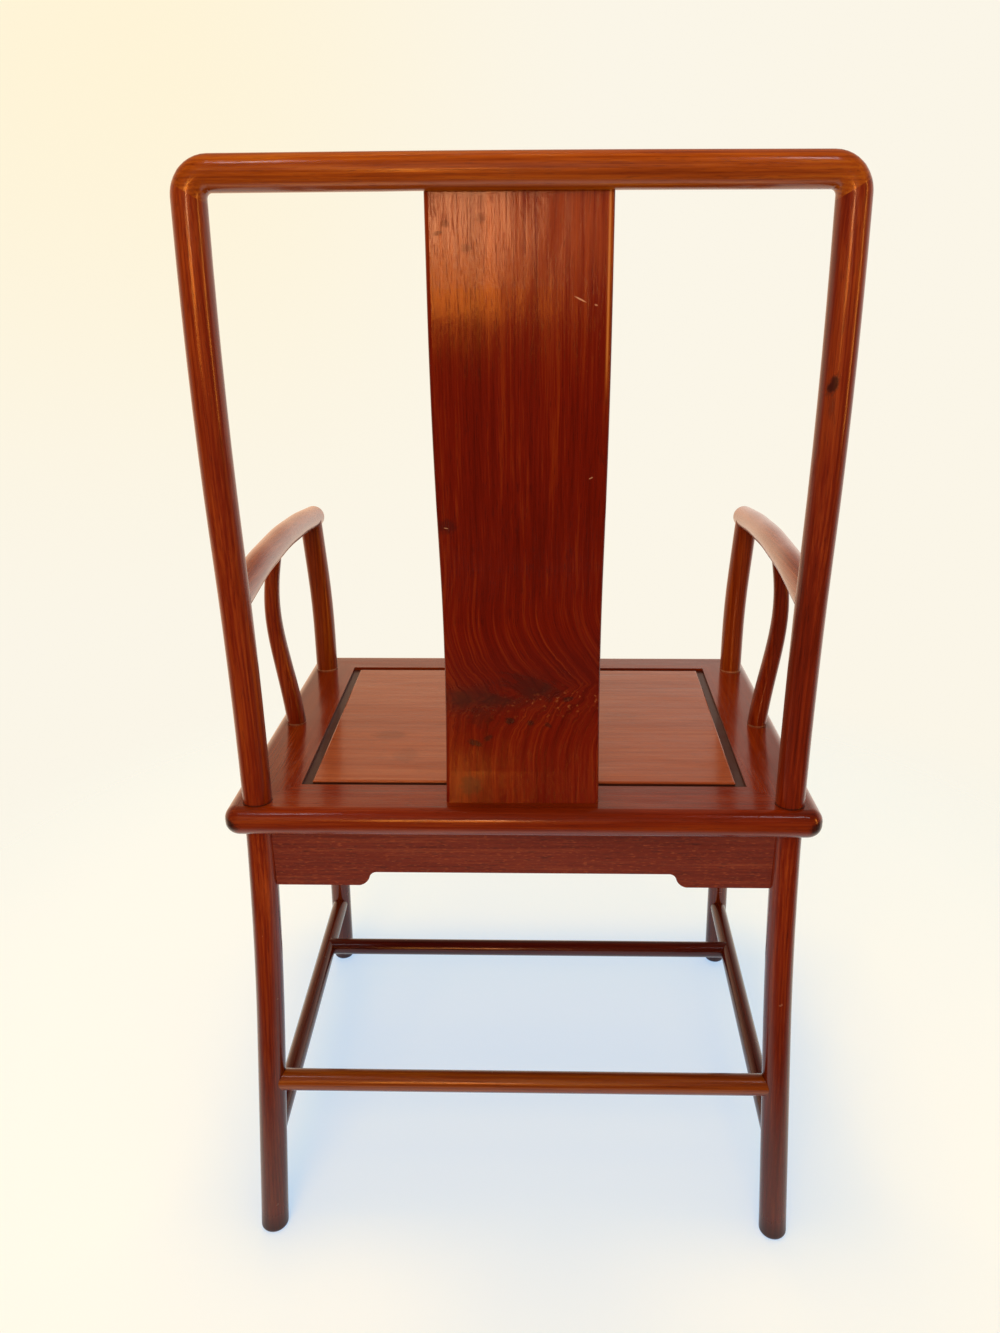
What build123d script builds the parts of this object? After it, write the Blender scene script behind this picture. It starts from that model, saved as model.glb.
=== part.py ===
from build123d import *
import os

os.makedirs("parts", exist_ok=True)

# ---------------------------------------------------------------- sizes, mm
# The front of the chair faces -Y, the sitter's left is +X, the floor is Z = 0.

# seat frame
seat_height = 470.0
frame_thickness = 28.5
frame_half_width_rear = 290.0
frame_half_width_front = 297.0
frame_rear_y = 210.5
frame_front_y = -264.0
frame_corner_radius = 16.0
frame_edge_rounding = 12.5
rear_member_width = 61.5
front_member_width = 51.0
side_member_width_rear = 64.5
side_member_width_front = 61.5
corner_tenon_width = 10.0
corner_tenon_thickness = 10.0
corner_tenon_end_inset = 13.0
corner_tenon_root = 25.0

# seat panel and its battens
panel_side_gap = 0.25
panel_margin = 9.5
panel_margin_sink = 3.5
panel_field_rounding = 1.8
panel_drop = 15.0
panel_tongue_thickness = 7.0
panel_tongue_length = 6.0
batten_x = 110.0
batten_width = 30.0
batten_thickness = 9.0
batten_tenon_thickness = 5.0
batten_tenon_length = 8.0

# posts, each one piece from the floor upwards
post_radius = 14.1
front_post_radius = 13.7
foot_edge_rounding = 4.5
rear_post_inset = (30.0, 24.5)
rear_leg_rake = (5.0, 64.6)
rear_leg_bend_offset = (1.0, 9.0, -180.0)
front_post_inset = (25.0, 55.0)
front_leg_splay = (9.0, -21.0)
leg_knee_drop = 45.0
front_post_bend_rise = 90.0
front_post_top_set_back = 3.0
rear_post_low_bend_rise = 125.0
rear_post_high_bend_offset = (-1.0, 34.5, 398.0)
rear_post_lean = (-2.0, 30.5)
rear_post_bend_radii = (1300.0, 550.0, 1900.0, 1700.0)
front_post_bend_radii = (500.0, 1200.0)

# crest rail
crest_rise = 554.9
crest_bow = 7.5
crest_corner_bend = 18.0
crest_middle_bend = 5000.0
crest_joint_drop = 13.4
crest_joint_slope = 0.6
crest_tenon_radius = 7.0
crest_tenon_rise = 3.1

# back splat, its middle line in side view as (behind the posts' feet, above the seat)
splat_width = 148.8
splat_thickness = 10.0
splat_edge_rounding = 3.6
splat_line = (
    (2.0, -22.0),
    (-39.0, 130.0),
    (32.0, 380.0),
    (28.0, 565.0),
)
splat_low_radius = 380.0
splat_high_radius = 600.0
splat_top_drop = 5.9
splat_tenon_width = 120.0
splat_tenon_thickness = 6.0
splat_tenon_depth = 12.0

# arms: outwards of the posts, share of the way forward, above the seat
arm_radius = 13.9
arm_stations = (
    (-0.6, -0.025, 207.0),
    (1.8, 0.220, 217.0),
    (5.0, 0.537, 218.0),
    (7.6, 0.815, 212.0),
    (9.1, 1.073, 202.5),
)
arm_bend_radii = (550.0, 900.0, 1100.0)
arm_tip_rounding = 10.0
arm_tenon_radius = 6.0
arm_tenon_root = 10.0
arm_tenon_rise = 6.0

# side spindles: above the seat, outwards of the side's middle line, radius
spindle_stations = (
    (-14.0, 2.5, 10.8),
    (12.0, 3.8, 10.8),
    (46.0, 8.5, 10.4),
    (86.0, 15.0, 9.8),
    (126.0, 19.5, 9.1),
    (164.0, 18.5, 8.4),
    (196.0, 13.5, 8.0),
    (220.0, 8.5, 7.8),
)
spindle_set_forward = 5.5
spindle_tenon_radius = 5.0
spindle_tenon_depth = 12.0

# stretchers
rear_stretcher_z = 163.0
rear_stretcher_radius = 10.9
side_stretcher_z = 97.0
side_stretcher_radius = 10.4
cross_stretcher_set_back = 98.0
cross_stretcher_radius = 10.4
stretcher_tenon_radius = 6.0
cross_tenon_radius = 4.5

# aprons under the seat frame
apron_thickness = 13.0
apron_end_depth = 61.5
apron_middle_depth = 46.5
apron_step_start = 97.0
apron_step_length = 18.0
apron_tenon_thickness = 8.0
apron_tenon_low_drop = 41.5
apron_tenon_high_drop = 9.5
apron_tenon_from_axis = 7.5

# clearances
round_fit = 0.15
flat_fit = 0.1

# ---------------------------------------------------------------- places that follow from the sizes
frame_underside = seat_height - frame_thickness
panel_underside = seat_height - panel_drop
opening_half_width_rear = frame_half_width_rear - side_member_width_rear
opening_half_width_front = frame_half_width_front - side_member_width_front
opening_rear_y = frame_rear_y - rear_member_width
opening_front_y = frame_front_y + front_member_width

rear_x = frame_half_width_rear - rear_post_inset[0]
rear_y = frame_rear_y - rear_post_inset[1]
front_x = frame_half_width_front - front_post_inset[0]
front_y = frame_front_y + front_post_inset[1]
middle_x = (rear_x + front_x) / 2
middle_y = (rear_y + front_y) / 2
leg_knee_z = seat_height - leg_knee_drop

rear_foot = (rear_x + rear_leg_rake[0], rear_y + rear_leg_rake[1], 0.0)
rear_leg_bend = (
    rear_x + rear_leg_bend_offset[0],
    rear_y + rear_leg_bend_offset[1],
    seat_height + rear_leg_bend_offset[2],
)
rear_high_bend = (
    rear_x + rear_post_high_bend_offset[0],
    rear_y + rear_post_high_bend_offset[1],
    seat_height + rear_post_high_bend_offset[2],
)
crest_z = seat_height + crest_rise
rear_post_top = (rear_x + rear_post_lean[0], rear_y + rear_post_lean[1], crest_z)
crest_middle_y = rear_post_top[1] + crest_bow
crest_joint_z = crest_z - crest_joint_drop
crest_tenon_top = crest_z + crest_tenon_rise
splat_top_z = crest_z - splat_top_drop

front_foot = (front_x + front_leg_splay[0], front_y + front_leg_splay[1], 0.0)
front_knee = (front_x, front_y, leg_knee_z)
spindle_y = middle_y - spindle_set_forward
cross_stretcher_y = front_y + cross_stretcher_set_back


# ---------------------------------------------------------------- helpers
def point_on_run(low, high, side, z):
    """Middle of a straight run of a leg at height z."""
    share = (z - low[2]) / (high[2] - low[2])
    x = low[0] + (high[0] - low[0]) * share
    y = low[1] + (high[1] - low[1]) * share
    return (side * x, y, z)


def point_on_rear_leg(side, z):
    """Middle of the raked lower run of a rear leg."""
    return point_on_run(rear_foot, rear_leg_bend, side, z)


def point_on_front_leg(side, z):
    """Middle of a splayed front leg."""
    return point_on_run(front_foot, front_knee, side, z)


def round_bar(start, end, radius):
    """Straight round bar between two points."""
    direction = Vector(*end) - Vector(*start)
    with BuildPart() as bar:
        with BuildSketch(Plane(origin=start, z_dir=direction)):
            Circle(radius)
        extrude(amount=direction.length)
    return bar.part


def bent_bar(points, bend_radii, radius):
    """Round bar that follows straight runs joined by wide arcs."""
    with BuildPart() as bar:
        with BuildLine() as middle_line:
            FilletPolyline(*points, radius=bend_radii)
        with BuildSketch(Plane(origin=middle_line.line @ 0, z_dir=middle_line.line % 0)):
            Circle(radius)
        sweep()
    return bar.part


def trapezoid(half_rear, half_front, rear_y, front_y):
    """Corners of a seat outline, wider at the front."""
    return (
        (-half_front, front_y),
        (half_front, front_y),
        (half_rear, rear_y),
        (-half_rear, rear_y),
    )


def mirrored(point, side):
    """The point on the sitter's left, or its mirror image."""
    return (side * point[0], point[1], point[2])


def crest_middle():
    """Middle of the crest rail, a little behind the tops of the posts."""
    return (0.0, crest_middle_y, crest_z)


def rear_post_bar(side, radius):
    """Rear post from below the floor, bent over at the top into the line of the crest rail."""
    foot = point_on_rear_leg(side, -14.0)
    shin = mirrored(rear_leg_bend, side)
    knee = (side * rear_x, rear_y, leg_knee_z)
    low = (side * rear_x, rear_y, seat_height + rear_post_low_bend_rise)
    high = mirrored(rear_high_bend, side)
    top = mirrored(rear_post_top, side)
    points = (foot, shin, knee, low, high, top, crest_middle())
    return bent_bar(points, (*rear_post_bend_radii, crest_corner_bend), radius)


def arm_points(side):
    """Bends and ends of the arm's middle line, from the rear post forward."""
    points = []
    for outwards, forward, rise in arm_stations:
        x = rear_x + (front_x - rear_x) * min(max(forward, 0.0), 1.0) + outwards
        y = rear_y + (front_y - rear_y) * forward
        points.append((side * x, y, seat_height + rise))
    return points


def front_post_top(side):
    """Where the front post meets the middle line of the arm."""
    behind, ahead = arm_points(side)[-2:]
    y = front_y + front_post_top_set_back
    share = (y - behind[1]) / (ahead[1] - behind[1])
    x = behind[0] + (ahead[0] - behind[0]) * share
    return (x, y, behind[2] + (ahead[2] - behind[2]) * share)


def front_post_bar(side, radius):
    """Front post from below the floor to the middle of the arm."""
    foot = point_on_front_leg(side, -14.0)
    knee = mirrored(front_knee, side)
    bend = (side * front_x, front_y, seat_height + front_post_bend_rise)
    return bent_bar((foot, knee, bend, front_post_top(side)), front_post_bend_radii, radius)


def arm_bar(side, radius):
    """Arm from the middle of the rear post to its rounded front end."""
    return bent_bar(arm_points(side), arm_bend_radii, radius)


def arm_rear_tenon(side, radius):
    """Round tenon of the arm inside the rear post."""
    start, towards = arm_points(side)[:2]
    direction = (Vector(*towards) - Vector(*start)).normalized()
    end = Vector(*start) + direction * (post_radius + 12.0)
    return round_bar(start, tuple(end), radius)


def front_post_tenon(side, radius, lift):
    """Round tenon on top of the front post, inside the arm."""
    x, y, z = front_post_top(side)
    start = (x, y, z - arm_radius - arm_tenon_root)
    return round_bar(start, (x, y, z + arm_tenon_rise + lift), radius)


def crest_tenon(side, radius, lift):
    """Round tenon on top of the rear post, inside the crest rail."""
    start = (side * rear_post_top[0], rear_post_top[1], crest_joint_z - 15.0)
    end = (side * rear_post_top[0], rear_post_top[1], crest_tenon_top + lift)
    return round_bar(start, end, radius)


def crest_joint_plane(side):
    """Sloping joint between crest rail and rear post, facing up."""
    return Plane(
        origin=(side * rear_post_top[0], rear_post_top[1], crest_joint_z),
        z_dir=(-side * crest_joint_slope, 0, 1),
    )


def spindle_place(side, station):
    """Middle of the spindle at one of its stations."""
    rise, outwards, radius = spindle_stations[station]
    return (side * (middle_x + outwards), spindle_y, seat_height + rise)


def spindle_bar(side):
    """Bowed spindle, thicker at the seat than at the arm."""
    with BuildPart() as bar:
        for station in range(len(spindle_stations)):
            with BuildSketch(Plane(origin=spindle_place(side, station))):
                Circle(spindle_stations[station][2])
        loft()
    return bar.part


def spindle_foot_tenon(side, radius, extra):
    """Round tenon of the spindle in the seat frame."""
    x, y, z = spindle_place(side, 1)
    start = (x, y, seat_height - spindle_tenon_depth - extra)
    return round_bar(start, (x, y, seat_height + 8.0), radius)


def spindle_head_tenon(side, radius, extra):
    """Round tenon of the spindle in the arm."""
    x, y, z = spindle_place(side, 6)
    return round_bar((x, y, z - 8.0), (x, y, z + 23.0 + extra), radius)


def splat_board(width, thickness, rounding):
    """Board that follows the S line of the splat."""
    line_points = [(0, rear_y + back, seat_height + rise) for back, rise in splat_line]
    with BuildPart() as board:
        with BuildLine() as middle_line:
            FilletPolyline(*line_points, radius=(splat_low_radius, splat_high_radius))
        start = Plane(
            origin=middle_line.line @ 0,
            x_dir=(1, 0, 0),
            z_dir=middle_line.line % 0,
        )
        with BuildSketch(start):
            RectangleRounded(width, thickness, rounding)
        sweep()
    return board.part


def splat_tenon(extra):
    """Bottom tenon of the splat in the rear seat rail."""
    with BuildPart() as tenon:
        add(splat_board(splat_tenon_width + 2 * extra, splat_tenon_thickness + 2 * extra, 1.0))
        split(bisect_by=Plane.XY.offset(seat_height), keep=Keep.BOTTOM)
        split(bisect_by=Plane.XY.offset(seat_height - splat_tenon_depth - extra), keep=Keep.TOP)
    return tenon.part


def splat_slot():
    """Slot in the crest rail that houses the head of the splat."""
    with BuildPart() as slot:
        add(
            splat_board(
                splat_width + 2 * flat_fit,
                splat_thickness + 2 * flat_fit,
                splat_edge_rounding,
            )
        )
        split(bisect_by=Plane.XY.offset(crest_z - 2.5 * post_radius), keep=Keep.TOP)
        split(bisect_by=Plane.XY.offset(splat_top_z + flat_fit), keep=Keep.BOTTOM)
    return slot.part


def apron_plane(start, end):
    """Upright plane through two leg middles, its x along the apron."""
    middle = ((start[0] + end[0]) / 2, (start[1] + end[1]) / 2, 0)
    along = (end[0] - start[0], end[1] - start[1], 0)
    return Plane(origin=middle, x_dir=along, z_dir=Vector(*along).cross(Vector(0, 0, 1)))


def apron_tenons(start, end, extra):
    """Flat bar whose two ends are the tenons of an apron."""
    length = (Vector(*start) - Vector(*end)).length
    with BuildPart() as tenons:
        with BuildSketch(apron_plane(start, end)):
            with Locations((0, frame_underside - (apron_tenon_low_drop + apron_tenon_high_drop) / 2)):
                Rectangle(
                    length - 2 * apron_tenon_from_axis + 2 * extra,
                    apron_tenon_low_drop - apron_tenon_high_drop + 2 * extra,
                )
        extrude(amount=apron_tenon_thickness / 2 + extra, both=True)
    return tenons.part


def apron_outline_board(start, end):
    """Board with deeper ends and a curved step in its lower edge."""
    half = (Vector(*start) - Vector(*end)).length / 2
    step_outer = half - apron_step_start
    step_inner = step_outer - apron_step_length
    low = frame_underside - apron_end_depth
    high = frame_underside - apron_middle_depth
    nose = step_inner + 0.45 * apron_step_length
    with BuildPart() as board:
        with BuildSketch(apron_plane(start, end)):
            with BuildLine():
                Polyline((-step_inner, high), (step_inner, high))
                for s in (1, -1):
                    ThreePointArc(
                        (s * step_inner, high),
                        (s * (nose - 2.5), high - 1.9),
                        (s * nose, high - 6.5),
                    )
                    ThreePointArc(
                        (s * nose, high - 6.5),
                        (s * (nose + 2.6), low + 4.2),
                        (s * step_outer, low),
                    )
                Polyline(
                    (step_outer, low),
                    (half, low),
                    (half, frame_underside),
                    (-half, frame_underside),
                    (-half, low),
                    (-step_outer, low),
                )
            make_face()
        extrude(amount=apron_thickness / 2, both=True)
    return board.part


# ---------------------------------------------------------------- where things meet
rear_axis_left = (rear_x, rear_y, 0)
rear_axis_right = (-rear_x, rear_y, 0)
front_axis_left = (front_x, front_y, 0)
front_axis_right = (-front_x, front_y, 0)

rear_stretcher_ends = (
    point_on_rear_leg(1, rear_stretcher_z),
    point_on_rear_leg(-1, rear_stretcher_z),
)


def side_stretcher_ends(side):
    """Where a side stretcher meets the rear and the front leg."""
    return (
        point_on_rear_leg(side, side_stretcher_z),
        point_on_front_leg(side, side_stretcher_z),
    )


def cross_stretcher_end(side):
    """Where the cross stretcher meets a side stretcher."""
    rear_end, front_end = side_stretcher_ends(side)
    share = (cross_stretcher_y - rear_end[1]) / (front_end[1] - rear_end[1])
    return (rear_end[0] + (front_end[0] - rear_end[0]) * share, cross_stretcher_y, side_stretcher_z)


# ---------------------------------------------------------------- crest rail
crest_stub_z = crest_joint_z - 1.8 * post_radius
crest_line_points = (
    point_on_run(rear_high_bend, rear_post_top, -1, crest_stub_z),
    mirrored(rear_post_top, -1),
    crest_middle(),
    rear_post_top,
    point_on_run(rear_high_bend, rear_post_top, 1, crest_stub_z),
)
crest_bend_radii = (crest_corner_bend, crest_middle_bend, crest_corner_bend)

with BuildPart() as crest_rail:
    # round bar, straight across the back and turned down at both ends
    add(bent_bar(crest_line_points, crest_bend_radii, post_radius))
    # sloping joints on top of the posts, with sockets for their tenons
    for side in (-1, 1):
        split(bisect_by=crest_joint_plane(side), keep=Keep.TOP)
        add(crest_tenon(side, crest_tenon_radius + round_fit, round_fit), mode=Mode.SUBTRACT)
    # slot for the splat
    add(splat_slot(), mode=Mode.SUBTRACT)
crest_rail.part.label = "crest_rail"
export_step(crest_rail.part, "parts/crest_rail.step")

# ---------------------------------------------------------------- back splat
with BuildPart() as back_splat:
    add(splat_board(splat_width, splat_thickness, splat_edge_rounding))
    split(bisect_by=Plane.XY.offset(seat_height), keep=Keep.TOP)
    split(bisect_by=Plane.XY.offset(splat_top_z), keep=Keep.BOTTOM)
    add(splat_tenon(0))
back_splat.part.label = "back_splat"
export_step(back_splat.part, "parts/back_splat.step")

# ---------------------------------------------------------------- posts, arms, spindles
for side, hand in ((1, "left"), (-1, "right")):
    rear_axis = rear_axis_left if side > 0 else rear_axis_right
    front_axis = front_axis_left if side > 0 else front_axis_right
    side_ends = side_stretcher_ends(side)

    with BuildPart() as rear_post:
        add(rear_post_bar(side, post_radius))
        split(bisect_by=crest_joint_plane(side), keep=Keep.BOTTOM)
        split(bisect_by=Plane.XY, keep=Keep.TOP)
        fillet(rear_post.faces().sort_by(Axis.Z)[0].edges(), radius=foot_edge_rounding)
        add(crest_tenon(side, crest_tenon_radius, 0))
        add(arm_rear_tenon(side, arm_tenon_radius + round_fit), mode=Mode.SUBTRACT)
        add(
            round_bar(*rear_stretcher_ends, stretcher_tenon_radius + round_fit),
            mode=Mode.SUBTRACT,
        )
        add(round_bar(*side_ends, stretcher_tenon_radius + round_fit), mode=Mode.SUBTRACT)
        add(apron_tenons(rear_axis_left, rear_axis_right, flat_fit), mode=Mode.SUBTRACT)
        add(apron_tenons(rear_axis, front_axis, flat_fit), mode=Mode.SUBTRACT)
    rear_post.part.label = "rear_post_" + hand
    export_step(rear_post.part, "parts/rear_post_" + hand + ".step")

    with BuildPart() as front_post:
        add(front_post_bar(side, front_post_radius))
        split(bisect_by=Plane.XY, keep=Keep.TOP)
        fillet(front_post.faces().sort_by(Axis.Z)[0].edges(), radius=foot_edge_rounding)
        add(arm_bar(side, arm_radius + round_fit), mode=Mode.SUBTRACT)
        add(front_post_tenon(side, arm_tenon_radius, 0))
        add(round_bar(*side_ends, stretcher_tenon_radius + round_fit), mode=Mode.SUBTRACT)
        add(apron_tenons(front_axis_left, front_axis_right, flat_fit), mode=Mode.SUBTRACT)
        add(apron_tenons(rear_axis, front_axis, flat_fit), mode=Mode.SUBTRACT)
    front_post.part.label = "front_post_" + hand
    export_step(front_post.part, "parts/front_post_" + hand + ".step")

    with BuildPart() as arm:
        add(arm_bar(side, arm_radius))
        fillet(arm.faces().sort_by(Axis.Y)[0].edges(), radius=arm_tip_rounding)
        add(rear_post_bar(side, post_radius + round_fit), mode=Mode.SUBTRACT)
        add(arm_rear_tenon(side, arm_tenon_radius))
        add(front_post_tenon(side, arm_tenon_radius + round_fit, round_fit), mode=Mode.SUBTRACT)
        add(
            spindle_head_tenon(side, spindle_tenon_radius + round_fit, round_fit),
            mode=Mode.SUBTRACT,
        )
    arm.part.label = "arm_" + hand
    export_step(arm.part, "parts/arm_" + hand + ".step")

    with BuildPart() as spindle:
        add(spindle_bar(side))
        split(bisect_by=Plane.XY.offset(seat_height), keep=Keep.TOP)
        add(arm_bar(side, arm_radius + round_fit), mode=Mode.SUBTRACT)
        add(spindle_head_tenon(side, spindle_tenon_radius, 0))
        add(spindle_foot_tenon(side, spindle_tenon_radius, 0))
    spindle.part.label = "spindle_" + hand
    export_step(spindle.part, "parts/spindle_" + hand + ".step")

# ---------------------------------------------------------------- seat frame
with BuildPart() as frame_blank:
    with BuildSketch(Plane.XY.offset(frame_underside)):
        Polygon(
            *trapezoid(
                frame_half_width_rear, frame_half_width_front, frame_rear_y, frame_front_y
            ),
            align=None,
        )
    extrude(amount=frame_thickness)
    fillet(frame_blank.edges().filter_by(Axis.Z), radius=frame_corner_radius)
    fillet(frame_blank.faces().sort_by(Axis.Z)[-1].edges(), radius=frame_edge_rounding)
    fillet(frame_blank.faces().sort_by(Axis.Z)[0].edges(), radius=frame_edge_rounding)
    # the opening for the panel and the groove that holds its tongue
    with BuildSketch(Plane.XY.offset(frame_underside)):
        Polygon(
            *trapezoid(
                opening_half_width_rear,
                opening_half_width_front,
                opening_rear_y,
                opening_front_y,
            ),
            align=None,
        )
    extrude(amount=frame_thickness, mode=Mode.SUBTRACT)
    with BuildSketch(Plane.XY.offset(panel_underside)):
        Polygon(
            *trapezoid(
                opening_half_width_rear + panel_tongue_length,
                opening_half_width_front + panel_tongue_length,
                opening_rear_y + panel_tongue_length,
                opening_front_y - panel_tongue_length,
            ),
            align=None,
        )
    extrude(amount=panel_tongue_thickness + flat_fit, mode=Mode.SUBTRACT)
    # round holes for the four posts and the spindle tenons
    for side in (1, -1):
        for point, radius in (
            ((rear_x, rear_y), post_radius),
            ((front_x, front_y), front_post_radius),
        ):
            with Locations((side * point[0], point[1], seat_height - frame_thickness / 2)):
                Cylinder(radius + round_fit, frame_thickness + 10, mode=Mode.SUBTRACT)
        add(
            spindle_foot_tenon(side, spindle_tenon_radius + round_fit, round_fit),
            mode=Mode.SUBTRACT,
        )
    add(splat_tenon(flat_fit), mode=Mode.SUBTRACT)
    # sockets for the batten tenons
    with Locations(
        (batten_x, (opening_rear_y + opening_front_y) / 2, panel_underside - batten_thickness / 2),
        (-batten_x, (opening_rear_y + opening_front_y) / 2, panel_underside - batten_thickness / 2),
    ):
        Box(
            batten_width + 2 * flat_fit,
            opening_rear_y - opening_front_y + 2 * (batten_tenon_length + flat_fit),
            batten_tenon_thickness + 2 * flat_fit,
            mode=Mode.SUBTRACT,
        )

mitre_corners = {
    "rear": (
        (frame_half_width_rear, frame_rear_y),
        (opening_half_width_rear, opening_rear_y),
    ),
    "front": (
        (frame_half_width_front, frame_front_y),
        (opening_half_width_front, opening_front_y),
    ),
}


def beyond(corner_pair, side, reach):
    """Point on the mitre line, further out than the frame's corner."""
    outer, inner = corner_pair
    dx = outer[0] - inner[0]
    dy = outer[1] - inner[1]
    return (side * (outer[0] + reach * dx), outer[1] + reach * dy)


def inner_corner(end_name, side):
    """Corner of the panel opening."""
    return (side * mitre_corners[end_name][1][0], mitre_corners[end_name][1][1])


def corner_tenon(side, end_name, extra):
    """Blind tenon of a side rail in the rear or front rail."""
    if end_name == "rear":
        x_inner = opening_half_width_rear + 8.5
        start_y = opening_rear_y - corner_tenon_root
        end_y = frame_rear_y - corner_tenon_end_inset + extra
    else:
        x_inner = opening_half_width_front + 7.5
        start_y = opening_front_y + corner_tenon_root
        end_y = frame_front_y + corner_tenon_end_inset - extra
    with BuildPart() as tenon:
        with Locations(
            (
                side * (x_inner + corner_tenon_width / 2),
                (start_y + end_y) / 2,
                frame_underside + frame_thickness / 2 - 1.0,
            )
        ):
            Box(
                corner_tenon_width + 2 * extra,
                abs(end_y - start_y),
                corner_tenon_thickness + 2 * extra,
            )
    return tenon.part


def mitre_wedge(points):
    """Tall prism over a plan outline."""
    with BuildPart() as wedge:
        with BuildSketch(Plane.XY.offset(frame_underside - 5)):
            Polygon(*points, align=None)
        extrude(amount=frame_thickness + 10)
    return wedge.part


for end_name in ("rear", "front"):
    with BuildPart() as cross_rail:
        add(frame_blank.part)
        add(
            mitre_wedge(
                (
                    beyond(mitre_corners[end_name], 1, 0.5),
                    beyond(mitre_corners[end_name], -1, 0.5),
                    inner_corner(end_name, -1),
                    inner_corner(end_name, 1),
                )
            ),
            mode=Mode.INTERSECT,
        )
        for side in (1, -1):
            add(corner_tenon(side, end_name, flat_fit), mode=Mode.SUBTRACT)
    cross_rail.part.label = "seat_rail_" + end_name
    export_step(cross_rail.part, "parts/seat_rail_" + end_name + ".step")

for side, hand in ((1, "left"), (-1, "right")):
    with BuildPart() as side_rail:
        add(frame_blank.part)
        add(
            mitre_wedge(
                (
                    beyond(mitre_corners["rear"], side, 0.5),
                    inner_corner("rear", side),
                    inner_corner("front", side),
                    beyond(mitre_corners["front"], side, 0.5),
                )
            ),
            mode=Mode.INTERSECT,
        )
        add(corner_tenon(side, "rear", 0))
        add(corner_tenon(side, "front", 0))
    side_rail.part.label = "seat_rail_" + hand
    export_step(side_rail.part, "parts/seat_rail_" + hand + ".step")

# ---------------------------------------------------------------- seat panel
with BuildPart() as seat_panel:
    with BuildSketch(Plane.XY.offset(panel_underside)):
        Polygon(
            *trapezoid(
                opening_half_width_rear - panel_side_gap,
                opening_half_width_front - panel_side_gap,
                opening_rear_y - panel_side_gap,
                opening_front_y + panel_side_gap,
            ),
            align=None,
        )
    extrude(amount=seat_height - panel_underside - panel_margin_sink)
    with BuildSketch(Plane.XY.offset(panel_underside)):
        Polygon(
            *trapezoid(
                opening_half_width_rear + panel_tongue_length - panel_side_gap,
                opening_half_width_front + panel_tongue_length - panel_side_gap,
                opening_rear_y + panel_tongue_length - panel_side_gap,
                opening_front_y - panel_tongue_length + panel_side_gap,
            ),
            align=None,
        )
    extrude(amount=panel_tongue_thickness)
    with BuildSketch(Plane.XY.offset(seat_height - panel_margin_sink)):
        Polygon(
            *trapezoid(
                opening_half_width_rear - panel_margin,
                opening_half_width_front - panel_margin,
                opening_rear_y - panel_margin,
                opening_front_y + panel_margin,
            ),
            align=None,
        )
    extrude(amount=panel_margin_sink)
    fillet(seat_panel.faces().sort_by(Axis.Z)[-1].edges(), radius=panel_field_rounding)
seat_panel.part.label = "seat_panel"
export_step(seat_panel.part, "parts/seat_panel.step")

# ---------------------------------------------------------------- battens
with BuildPart() as seat_battens:
    batten_y = (opening_rear_y + opening_front_y) / 2
    batten_z = panel_underside - batten_thickness / 2
    span = opening_rear_y - opening_front_y
    with Locations((batten_x, batten_y, batten_z), (-batten_x, batten_y, batten_z)):
        Box(batten_width, span - 2 * flat_fit, batten_thickness)
        Box(batten_width, span + 2 * batten_tenon_length, batten_tenon_thickness)
seat_battens.part.label = "seat_battens"
export_step(seat_battens.part, "parts/seat_battens.step")


# ---------------------------------------------------------------- aprons
def finished_apron(start, end, leg_cutters):
    """Apron board coped round its legs, with its two tenons."""
    with BuildPart() as board:
        add(apron_outline_board(start, end))
        for cutter in leg_cutters:
            add(cutter, mode=Mode.SUBTRACT)
        add(apron_tenons(start, end, 0))
    return board.part


leg_cutters = {
    "rear_left": rear_post_bar(1, post_radius + round_fit),
    "rear_right": rear_post_bar(-1, post_radius + round_fit),
    "front_left": front_post_bar(1, front_post_radius + round_fit),
    "front_right": front_post_bar(-1, front_post_radius + round_fit),
}

apron_layout = (
    ("rear", rear_axis_left, rear_axis_right, ("rear_left", "rear_right")),
    ("front", front_axis_left, front_axis_right, ("front_left", "front_right")),
    ("left", rear_axis_left, front_axis_left, ("rear_left", "front_left")),
    ("right", rear_axis_right, front_axis_right, ("rear_right", "front_right")),
)
for place, start, end, legs in apron_layout:
    with BuildPart() as apron:
        add(finished_apron(start, end, [leg_cutters[leg] for leg in legs]))
    apron.part.label = "apron_" + place
    export_step(apron.part, "parts/apron_" + place + ".step")

# ---------------------------------------------------------------- stretchers
with BuildPart() as stretcher_rear:
    add(round_bar(*rear_stretcher_ends, rear_stretcher_radius))
    add(leg_cutters["rear_left"], mode=Mode.SUBTRACT)
    add(leg_cutters["rear_right"], mode=Mode.SUBTRACT)
    add(round_bar(*rear_stretcher_ends, stretcher_tenon_radius))
stretcher_rear.part.label = "stretcher_rear"
export_step(stretcher_rear.part, "parts/stretcher_rear.step")

cross_ends = (cross_stretcher_end(1), cross_stretcher_end(-1))
for side, hand in ((1, "left"), (-1, "right")):
    ends = side_stretcher_ends(side)
    with BuildPart() as stretcher_side:
        add(round_bar(*ends, side_stretcher_radius))
        add(leg_cutters["rear_" + hand], mode=Mode.SUBTRACT)
        add(leg_cutters["front_" + hand], mode=Mode.SUBTRACT)
        add(round_bar(*ends, stretcher_tenon_radius))
        add(round_bar(*cross_ends, cross_tenon_radius + round_fit), mode=Mode.SUBTRACT)
    stretcher_side.part.label = "stretcher_" + hand
    export_step(stretcher_side.part, "parts/stretcher_" + hand + ".step")

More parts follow.
